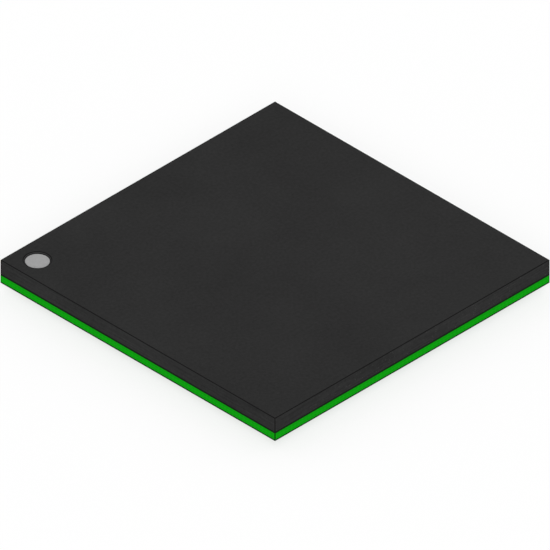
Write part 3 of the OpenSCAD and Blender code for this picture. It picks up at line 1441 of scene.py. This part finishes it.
@dataclass
class Board:
    """The laminated board: its sheets, copper and lacquer, and the relief of the lower lacquer."""

    grid: BallGrid
    # Solids of the frame: the sheets from the top down, and what the names of the copper start or end with
    sheets: tuple[str, ...] = ("upper_prepreg", "core_laminate", "lower_prepreg")
    copper: tuple[str, ...] = ("bond_fingers_", "die_pad", "ground_plane", "power_plane", "ball_lands")
    vias: str = "_vias"
    # Gap between a ball and the swell of the lacquer round it, and the width of that swell
    lip_gap: float = 0.008 * MM
    lip_width: float = 0.04 * MM
    # Width of the copper neck from a land to its via, and radius of the via's own land
    neck_width: float = 0.12 * MM
    via_radius: float = 0.15 * MM
    # Height of the swell, and how far its side slopes out
    relief: float = 0.008 * MM
    slope: float = 0.01 * MM
    # Points round a land and round a via
    arc_points: int = 12
    via_points: int = 8

    def build(self, solids: Solids) -> None:
        """Dress the sheets and make the relief.

        Args:
            solids: Solids of the frame by name.
        """
        stack = (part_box(self.sheets[-1])[0].z / MM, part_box(self.sheets[0])[1].z / MM)
        for name in self.sheets:
            low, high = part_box(name)
            finish = LaminateFinish(
                name=name,
                middle_mm=(low.z + high.z) / 2 / MM,
                height_mm=(high.z - low.z) / MM,
                half_mm=high.x / MM,
                stack_mm=stack,
            )
            dress(solids[name], finish.material())
        dress(solids[UPPER_MASK], UPPER_LACQUER.material())
        dress(solids[LOWER_MASK], LOWER_LACQUER.material())
        foil = COPPER_FOIL.material()
        for name, solid in solids.items():
            if name.startswith(self.copper) or name.endswith(self.vias):
                dress(solid, foil)
        self._add_relief(RAISED_LACQUER.material())

    def _outline(self, grow: float) -> list[tuple[float, float]]:
        """Give the outline of a land, its neck and its via, with the via on the +X side.

        Args:
            grow: How far the outline is moved outwards.

        Returns:
            Points, anticlockwise.
        """
        land = self.grid.seat_radius + self.lip_gap + self.lip_width + grow
        via = self.via_radius + grow
        half_neck = self.neck_width / 2 + grow
        away = self.grid.pitch / math.sqrt(2)
        start = math.asin(half_neck / land)
        stop = math.tau - start
        turns = [start + (stop - start) * step / (self.arc_points - 1) for step in range(self.arc_points)]
        points = [(land * math.cos(turn), land * math.sin(turn)) for turn in turns]
        reach = math.pi - math.asin(half_neck / via)
        turns = [reach * (2 * step / (self.via_points - 1) - 1) for step in range(self.via_points)]
        return points + [(away + via * math.cos(turn), via * math.sin(turn)) for turn in turns]

    def _swell(self, material: bpy.types.Material) -> bpy.types.Mesh:
        """Make the swell of the lacquer over one land, neck and via.

        Args:
            material: Its material.

        Returns:
            A closed plate that hangs below the level of the lacquer.
        """
        bm = bmesh.new()
        base = [bm.verts.new((x, y, 0)) for x, y in self._outline(self.slope)]
        face = [bm.verts.new((x, y, -self.relief)) for x, y in self._outline(0.0)]
        bridge(bm, face, base)
        inner = self.grid.seat_radius + self.lip_gap
        hole_base = ring(bm, Vector((0, 0, 0)), inner, self.arc_points)
        hole_face = ring(bm, Vector((0, 0, -self.relief)), inner, self.arc_points)
        bridge(bm, hole_base, hole_face)
        fill(bm, face, hole_face, up=False)
        fill(bm, base, hole_base, up=True)
        return to_mesh(bm, "lacquer_swell", material)

    def _add_relief(self, material: bpy.types.Material) -> None:
        """Repeat the swell at every ball, with each via turned away from the middle of the board.

        Args:
            material: Its material.
        """
        grid = self.grid
        rows = len(grid.rows)
        tree = GeometryTree("lacquer_relief")
        swell = tree.input("Swell", SocketKind.GEOMETRY)
        width = tree.input("Width", SocketKind.FLOAT, grid.span)
        depth = tree.input("Depth", SocketKind.FLOAT, (rows - 1) * grid.pitch)
        across = tree.input("Balls across", SocketKind.COUNT, grid.balls_per_row)
        deep = tree.input("Balls deep", SocketKind.COUNT, rows)
        level = tree.input("Level", SocketKind.FLOAT, grid.standoff)
        lacquer = tree.input("Lacquer", SocketKind.MATERIAL, material)
        sizes = {"Size X": width, "Size Y": depth, "Vertices X": across, "Vertices Y": deep}
        points = tree.add("GeometryNodeMeshGrid", None, sizes)
        x, y, _ = tree.split(tree.add("GeometryNodeInputPosition"))
        turn = tree.join(0.0, 0.0, y.sign().bearing(x.sign()))
        turn = tree.add("FunctionNodeEulerToRotation", None, {0: turn})
        lift = {"Geometry": points, "Offset": tree.join(0.0, 0.0, level)}
        lifted = tree.add("GeometryNodeSetPosition", None, lift)
        copies = {"Points": lifted, "Instance": swell, "Rotation": turn}
        tree.close(tree.add("GeometryNodeInstanceOnPoints", None, copies), lacquer)
        add_piece("lacquer_relief", tree.mesh("lacquer_relief", self._swell(material)))


@dataclass
class Chip:
    """The chip, its adhesive and its bond wires, sealed inside the block."""

    # Solids of the frame, and what the names of the wires start with
    die: str = "silicon_die"
    adhesive: str = "die_attach"
    wires: str = "bond_wires_"
    # Number of bond pads on a side, and how far a row lies in from the edge and from the corners
    pads_per_side: int = 39
    pad_inset: float = 0.12 * MM
    pad_corner: float = 0.2 * MM

    def build(self, solids: Solids) -> None:
        """Dress the solids.

        Args:
            solids: Solids of the frame by name.
        """
        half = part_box(self.die)[1].x
        silicon = SiliconFinish(
            half_mm=half / MM,
            pad_rows_mm=2 * (half - self.pad_inset) / MM,
            pad_run_mm=2 * (half - self.pad_corner) / MM,
            pads_per_side=self.pads_per_side,
        )
        dress(solids[self.die], silicon.material())
        dress(solids[self.adhesive], AdhesiveFinish().material())
        gold = GOLD_WIRE.material()
        for name, solid in solids.items():
            if name.startswith(self.wires):
                dress(solid, gold)


@dataclass
class Studio:
    """The table, the light and the camera."""

    # Side of the part and level of its top face
    body_width: float
    top: float
    # Frame of the photograph, width of the top face there from corner to corner, and the row of its middle
    image_px: float = 550.0
    corners_px: float = 549.1
    top_row_px: float = 259.8
    # Isometric direction of the camera, in degrees, and its distance
    azimuth: float = -45.0
    elevation: float = math.degrees(math.asin(1 / math.sqrt(3)))
    distance: float = 0.2
    # The nearest and farthest that the camera sees, in shares of its distance
    clip_shares: tuple[float, float] = (0.01, 100.0)
    # Half the side of the table, and how much of its paleness is a glow
    floor_reach: float = 1.0
    floor_glow: float = 0.7
    # Light from all round, from the camera's side and from below, with how wide the lamps appear
    ambient: float = 0.7
    key_strength: float = 1.6
    key_angle: float = math.radians(40)
    under_strength: float = 0.6
    under_angle: float = math.radians(30)
    under_from: tuple[float, float, float] = (0.3, 0.25, -0.92)

    def build(self) -> None:
        """Set up everything round the part."""
        bpy.context.scene.view_settings.view_transform = "Standard"
        self._add_floor()
        self._add_world()
        self._add_lamp("key", self._towards_camera(), self.key_strength, self.key_angle)
        self._add_lamp("under", Vector(self.under_from), self.under_strength, self.under_angle)
        self._add_camera()

    def _towards_camera(self) -> Vector:
        """Work out where the camera stands.

        Returns:
            The direction from the part to the camera.
        """
        turn = math.radians(self.azimuth)
        lift = math.radians(self.elevation)
        level = math.cos(lift)
        return Vector((math.sin(turn) * level, -math.cos(turn) * level, math.sin(lift)))

    @staticmethod
    def _seen(graph: Graph) -> Signal:
        """Give 1 where the camera, a mirror or a clear body looks, and 0 for light on the part."""
        path = graph.add("ShaderNodeLightPath", None, None, "Is Camera Ray")
        return path.most(path.output("Is Glossy Ray")).most(path.output("Is Transmission Ray"))

    def _add_floor(self) -> None:
        """Lay the pale table, which shows the part's shadow and lets light through from below."""
        mesh = bpy.data.meshes.new("table")
        reach = self.floor_reach
        corners = [(-reach, -reach, 0), (reach, -reach, 0), (reach, reach, 0), (-reach, reach, 0)]
        mesh.from_pydata(corners, [], [(0, 1, 2, 3)])
        shader = Shader("pale_table")
        paint = 1 - self.floor_glow
        matt = shader.add("ShaderNodeBsdfDiffuse", None, {"Color": (paint, paint, paint, 1.0)})
        glow = shader.add("ShaderNodeEmission", None, {"Strength": self.floor_glow})
        pale = shader.add("ShaderNodeAddShader", None, {0: matt, 1: glow})
        clear = shader.add("ShaderNodeBsdfTransparent")
        behind = shader.add("ShaderNodeNewGeometry", None, None, "Backfacing")
        share = self._seen(shader) * (1 - behind)
        surface = shader.add("ShaderNodeMixShader", None, {0: share, 1: clear, 2: pale})
        shader.add("ShaderNodeOutputMaterial", None, {"Surface": surface})
        mesh.materials.append(shader.material)
        table = bpy.data.objects.new("table", mesh)
        bpy.context.scene.collection.objects.link(table)

    def _add_world(self) -> None:
        """Surround the part with even light and a white background."""
        world = bpy.data.worlds.new("light_tent")
        world.use_nodes = True
        bpy.context.scene.world = world
        graph = Graph(world.node_tree)
        even = graph.add("ShaderNodeBackground", None, {"Color": WHITE, "Strength": self.ambient})
        white = graph.add("ShaderNodeBackground", None, {"Color": WHITE, "Strength": 1.0})
        both = graph.add("ShaderNodeMixShader", None, {0: self._seen(graph), 1: even, 2: white})
        graph.add("ShaderNodeOutputWorld", None, {"Surface": both})

    @staticmethod
    def _add_lamp(name: str, towards: Vector, strength: float, angle: float) -> None:
        """Add a broad lamp far away.

        Args:
            name: Name of the lamp.
            towards: Direction from the part to the lamp.
            strength: Light on a face that looks at it.
            angle: How wide the lamp appears.
        """
        lamp = bpy.data.lights.new(name, "SUN")
        lamp.energy = strength
        lamp.angle = angle
        holder = bpy.data.objects.new(name, lamp)
        holder.rotation_euler = towards.to_track_quat("Z", "Y").to_euler()
        bpy.context.scene.collection.objects.link(holder)

    def _add_camera(self) -> None:
        """Place the camera so that the top face lies where the photograph has it."""
        lens = bpy.data.cameras.new("camera")
        lens.type = "ORTHO"
        lens.ortho_scale = self.body_width * math.sqrt(2) * self.image_px / self.corners_px
        lens.clip_start, lens.clip_end = (share * self.distance for share in self.clip_shares)
        metres_per_px = lens.ortho_scale / self.image_px
        drop = (self.image_px / 2 - self.top_row_px) * metres_per_px / math.cos(math.radians(self.elevation))
        back = self._towards_camera()
        camera = bpy.data.objects.new("camera", lens)
        camera.location = Vector((0, 0, self.top - drop)) + back * self.distance
        camera.rotation_euler = back.to_track_quat("Z", "Y").to_euler()
        bpy.context.scene.collection.objects.link(camera)
        bpy.context.scene.camera = camera


def main() -> None:
    """Dress the part and set up the picture."""
    logging.basicConfig(level=logging.INFO, format="%(name)s: %(message)s")
    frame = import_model()
    solids = frame["nodes"]
    block = MouldedBlock.from_frame(solids)
    grid = BallGrid.from_frame(solids)
    Studio(body_width=block.high.x - block.low.x, top=block.high.z).build()
    block.build(solids)
    Chip().build(solids)
    Board(grid).build(solids)
    grid.build(solids)


if __name__ == "__main__":
    main()
